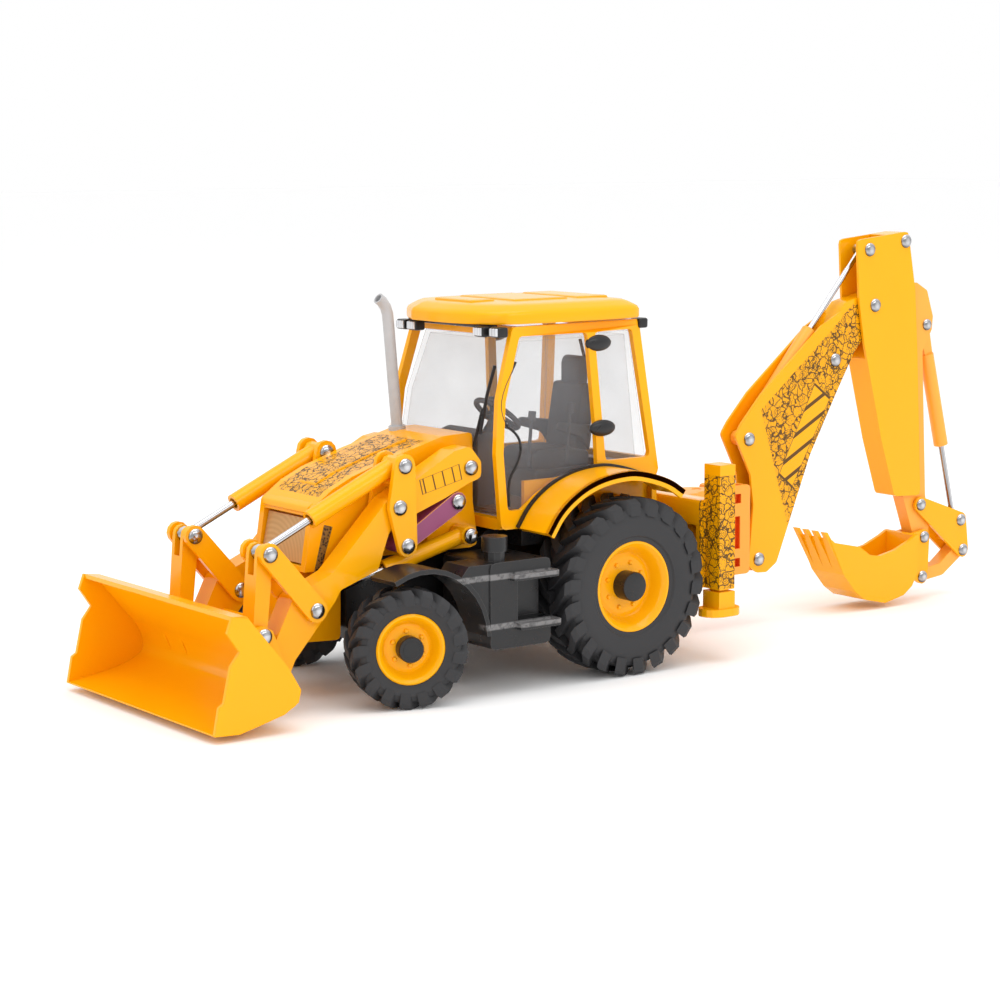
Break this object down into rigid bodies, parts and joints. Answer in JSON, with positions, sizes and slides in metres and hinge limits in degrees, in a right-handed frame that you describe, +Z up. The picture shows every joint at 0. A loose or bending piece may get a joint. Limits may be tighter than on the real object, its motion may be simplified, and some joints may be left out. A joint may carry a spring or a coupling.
{
  "type": "toy backhoe loader",
  "caption": "Die-cast toy backhoe loader: wheeled tractor with cab, a front loader whose bucket lifts and tips, and a slewing rear digger with telescopic dipper and stabilisers.",
  "frame": {"origin": "on the ground at the middle of the machine's overall box, with the loader bucket at +X", "axes": "+X forwards, towards the loader bucket; +Y to the machine's left; +Z up"},
  "size_m": [0.276, 0.0756, 0.1078],
  "materials": {
    "paint": "glossy amber yellow enamel on die-cast metal",
    "plastic": "satin moulded orange-yellow plastic",
    "bronze": "brushed bronze print on plastic",
    "black": "satin black moulded plastic",
    "tyre": "dark grey rubber",
    "purple": "purple enamel with worn yellow edges",
    "chrome": "bright plated",
    "steel": "bare steel",
    "grey": "matt light grey plastic",
    "seat": "matt dark grey plastic",
    "glass": "clear glazing"
  },
  "bodies": {
    "tractor": {"chassis": "black", "side_moulding": "black", "bonnet": "paint", "grille": "bronze", "exhaust": "grey", "cab_frame": "paint", "cab_glass": "glass", "cab_roof": "paint", "cab_interior": "seat", "rear_mudguard_left": "paint", "rear_mudguard_right": "paint", "rear_frame": "paint", "rear_axle": "black"},
    "rear_wheel_left": {"rear_tyre_left": "tyre", "rear_rim_left": "paint"},
    "rear_wheel_right": {"rear_tyre_right": "tyre", "rear_rim_right": "paint"},
    "knuckle_left": {"steering_knuckle_left": "black"},
    "knuckle_right": {"steering_knuckle_right": "black"},
    "front_wheel_left": {"front_tyre_left": "tyre", "front_rim_left": "paint"},
    "front_wheel_right": {"front_tyre_right": "tyre", "front_rim_right": "paint"},
    "tie_rod": {"tie_rod": "steel"},
    "arms": {"loader_arms": "paint"},
    "tilt_plates": {"tilt_plate_left": "paint", "tilt_plate_right": "paint"},
    "levelling_links": {"levelling_link_left": "purple", "levelling_link_right": "purple"},
    "lift_barrels": {"lift_barrel_left": "paint", "lift_barrel_right": "paint"},
    "lift_rods": {"lift_rod_left": "chrome", "lift_rod_right": "chrome"},
    "tilt_pins": {"tilt_pin_left": "chrome", "tilt_pin_right": "chrome"},
    "tilt_barrels": {"tilt_barrel_left": "paint", "tilt_barrel_right": "paint"},
    "tilt_pistons": {"tilt_piston_left": "steel", "tilt_piston_right": "steel"},
    "tilt_rods": {"tilt_rod_left": "chrome", "tilt_rod_right": "chrome"},
    "tilt_levers": {"tilt_lever_left": "paint", "tilt_lever_right": "paint"},
    "bucket_links": {"bucket_link_left": "paint", "bucket_link_right": "paint"},
    "loader_bucket": {"loader_bucket": "paint"},
    "shift_carriage": {"shift_carriage": "plastic"},
    "slew_post": {"slew_post": "plastic"},
    "boom": {"boom": "paint"},
    "dipper": {"dipper": "paint"},
    "inner_dipper": {"inner_dipper": "plastic"},
    "dipper_ram_barrel": {"dipper_ram_barrel": "plastic"},
    "dipper_ram_rod": {"dipper_ram_rod": "chrome"},
    "bucket_ram_barrel": {"bucket_ram_barrel": "plastic"},
    "bucket_ram_rod": {"bucket_ram_rod": "chrome"},
    "bucket_crank": {"bucket_crank": "paint"},
    "tipping_link": {"tipping_link": "plastic"},
    "digger_bucket": {"digger_bucket": "paint"},
    "stabiliser_left": {"stabiliser_leg_left": "paint"},
    "stabiliser_right": {"stabiliser_leg_right": "paint"}
  },
  "joints": [
    {"name": "rear_spin_left", "type": "hinge", "parent": "tractor", "child": "rear_wheel_left", "pos_m": [0.0155, 0.0285, 0.0227], "axis": [0, 1, 0], "continuous": true},
    {"name": "rear_spin_right", "type": "hinge", "parent": "tractor", "child": "rear_wheel_right", "pos_m": [0.0155, -0.0285, 0.0227], "axis": [0, 1, 0], "continuous": true},
    {"name": "steer_left", "type": "hinge", "parent": "tractor", "child": "knuckle_left", "pos_m": [0.0791, 0.0215, 0.0146], "axis": [0, 0, 1], "range_deg": [0, 33]},
    {"name": "steer_right", "type": "hinge", "parent": "tractor", "child": "knuckle_right", "pos_m": [0.0791, -0.0215, 0.0146], "axis": [0, 0, 1], "range_deg": [0, 33]},
    {"name": "tie_rod_pivot", "type": "hinge", "parent": "knuckle_left", "child": "tie_rod", "pos_m": [0.07239, 0.02349, 0.013], "axis": [0, 0, 1], "range_deg": [-33, 0]},
    {"name": "front_spin_left", "type": "hinge", "parent": "knuckle_left", "child": "front_wheel_left", "pos_m": [0.08151, 0.02965, 0.0146], "axis": [0.284, 0.9588, 0], "continuous": true},
    {"name": "front_spin_right", "type": "hinge", "parent": "knuckle_right", "child": "front_wheel_right", "pos_m": [0.07669, -0.02965, 0.0146], "axis": [0.284, 0.9588, 0], "continuous": true},
    {"name": "loader_lift", "type": "hinge", "parent": "tractor", "child": "arms", "pos_m": [0.0559, 0, 0.0547], "axis": [0, -1, 0], "range_deg": [0, 42]},
    {"name": "tilt_plate_pivot", "type": "hinge", "parent": "arms", "child": "tilt_plates", "pos_m": [0.0779, 0, 0.0469], "axis": [0, -1, 0], "range_deg": [-34, 0]},
    {"name": "levelling_pivot", "type": "hinge", "parent": "tractor", "child": "levelling_links", "pos_m": [0.0597, 0, 0.0466], "axis": [0, -1, 0], "range_deg": [0, 54]},
    {"name": "lift_ram_pivot", "type": "hinge", "parent": "tractor", "child": "lift_barrels", "pos_m": [0.056, 0, 0.0378], "axis": [0, -1, 0], "range_deg": [0, 41.5]},
    {"name": "lift_ram_stroke", "type": "slide", "parent": "lift_barrels", "child": "lift_rods", "axis": [0.9684, 0, -0.2494], "range_m": [0, 0.0125]},
    {"name": "loader_tilt", "type": "hinge", "parent": "arms", "child": "loader_bucket", "pos_m": [0.112, 0, 0.01], "axis": [0, -1, 0], "range_deg": [-70, 22]},
    {"name": "tilt_lever_pivot", "type": "hinge", "parent": "arms", "child": "tilt_levers", "pos_m": [0.1016, 0, 0.0245], "axis": [0, -1, 0], "range_deg": [-35, 12.5]},
    {"name": "bucket_link_pivot", "type": "hinge", "parent": "tilt_levers", "child": "bucket_links", "pos_m": [0.1142, 0, 0.0391], "axis": [0, -1, 0], "range_deg": [-14.5, 40]},
    {"name": "tilt_pin_pivot", "type": "hinge", "parent": "tilt_plates", "child": "tilt_pins", "pos_m": [0.0763, 0, 0.0568], "axis": [0, -1, 0], "range_deg": [0, 30.5]},
    {"name": "tilt_ram_pivot", "type": "hinge", "parent": "tilt_pins", "child": "tilt_barrels", "pos_m": [0.0763, 0, 0.0568], "axis": [0, -1, 0], "range_deg": [-6.5, 2.5]},
    {"name": "tilt_ram_piston", "type": "slide", "parent": "tilt_barrels", "child": "tilt_pistons", "axis": [0.9061, 0, -0.4231], "range_m": [-0.0055, 0]},
    {"name": "tilt_ram_stroke", "type": "slide", "parent": "tilt_pistons", "child": "tilt_rods", "axis": [0.9061, 0, -0.4231], "range_m": [-0.0038, 0.0107]},
    {"name": "side_shift", "type": "slide", "parent": "tractor", "child": "shift_carriage", "axis": [0, 1, 0], "range_m": [-0.012, 0.012]},
    {"name": "slew", "type": "hinge", "parent": "shift_carriage", "child": "slew_post", "pos_m": [-0.0345, 0, 0.0284], "axis": [0, 0, 1], "range_deg": [-80, 80]},
    {"name": "boom_lift", "type": "hinge", "parent": "slew_post", "child": "boom", "pos_m": [-0.0546, 0, 0.0186], "axis": [0, 1, 0], "range_deg": [-45, 3]},
    {"name": "dipper_swing", "type": "hinge", "parent": "boom", "child": "dipper", "pos_m": [-0.0974, 0, 0.0873], "axis": [0, -1, 0], "range_deg": [-60, 5]},
    {"name": "dipper_ram_pivot", "type": "hinge", "parent": "boom", "child": "dipper_ram_barrel", "pos_m": [-0.0506, 0, 0.0524], "axis": [0, -1, 0], "range_deg": [-5, 0.6]},
    {"name": "dipper_ram_stroke", "type": "slide", "parent": "dipper_ram_barrel", "child": "dipper_ram_rod", "axis": [-0.658, 0, 0.753], "range_m": [-0.0155, 0.0014]},
    {"name": "dipper_extension", "type": "slide", "parent": "dipper", "child": "inner_dipper", "axis": [-0.055, 0, -0.9985], "range_m": [0, 0.025]},
    {"name": "digger_curl", "type": "hinge", "parent": "inner_dipper", "child": "digger_bucket", "pos_m": [-0.1192, 0, 0.0187], "axis": [0, -1, 0], "range_deg": [-90, 5]},
    {"name": "crank_pivot", "type": "hinge", "parent": "inner_dipper", "child": "bucket_crank", "pos_m": [-0.1178, 0, 0.0283], "axis": [0, -1, 0], "range_deg": [-52, 3]},
    {"name": "tipping_link_pivot", "type": "hinge", "parent": "bucket_crank", "child": "tipping_link", "pos_m": [-0.1357, 0, 0.0133], "axis": [0, -1, 0], "range_deg": [-0.7, 11]},
    {"name": "bucket_ram_pivot", "type": "hinge", "parent": "inner_dipper", "child": "bucket_ram_barrel", "pos_m": [-0.12, 0, 0.0807], "axis": [0, -1, 0], "range_deg": [-4.5, 0.3]},
    {"name": "bucket_ram_stroke", "type": "slide", "parent": "bucket_ram_barrel", "child": "bucket_ram_rod", "axis": [-0.2425, 0, -0.9701], "range_m": [-0.0153, 0.0009]},
    {"name": "stabiliser_left", "type": "slide", "parent": "tractor", "child": "stabiliser_left", "axis": [0, 0, -1], "range_m": [0, 0.0118]},
    {"name": "stabiliser_right", "type": "slide", "parent": "tractor", "child": "stabiliser_right", "axis": [0, 0, -1], "range_m": [0, 0.0118]}
  ],
  "couplings": [
    {"joint": "steer_right", "follows": "steer_left", "ratio": 1},
    {"joint": "tie_rod_pivot", "follows": "steer_left", "ratio": -1},
    {"joint": "tilt_plate_pivot", "follows": "loader_lift", "ratio": -0.788},
    {"joint": "levelling_pivot", "follows": "loader_lift", "ratio": 1.27},
    {"joint": "lift_ram_pivot", "follows": "loader_lift", "ratio": 0.978},
    {"joint": "lift_ram_stroke", "follows": "loader_lift", "m_per_rad": 0.01649},
    {"joint": "tilt_pin_pivot", "follows": "loader_lift", "ratio": 0.714},
    {"joint": "tilt_ram_piston", "follows": "loader_lift", "m_per_rad": -0.00736},
    {"joint": "tilt_lever_pivot", "follows": "loader_tilt", "ratio": 0.495},
    {"joint": "bucket_link_pivot", "follows": "loader_tilt", "ratio": -0.571},
    {"joint": "tilt_ram_pivot", "follows": "loader_tilt", "ratio": 0.09},
    {"joint": "tilt_ram_stroke", "follows": "loader_tilt", "m_per_rad": -0.00868},
    {"joint": "dipper_ram_pivot", "follows": "dipper_swing", "ratio": 0.081},
    {"joint": "dipper_ram_stroke", "follows": "dipper_swing", "m_per_rad": 0.01464},
    {"joint": "crank_pivot", "follows": "digger_curl", "ratio": 0.577},
    {"joint": "tipping_link_pivot", "follows": "digger_curl", "ratio": -0.119},
    {"joint": "bucket_ram_pivot", "follows": "digger_curl", "ratio": 0.049},
    {"joint": "bucket_ram_stroke", "follows": "digger_curl", "m_per_rad": 0.00968}
  ]
}
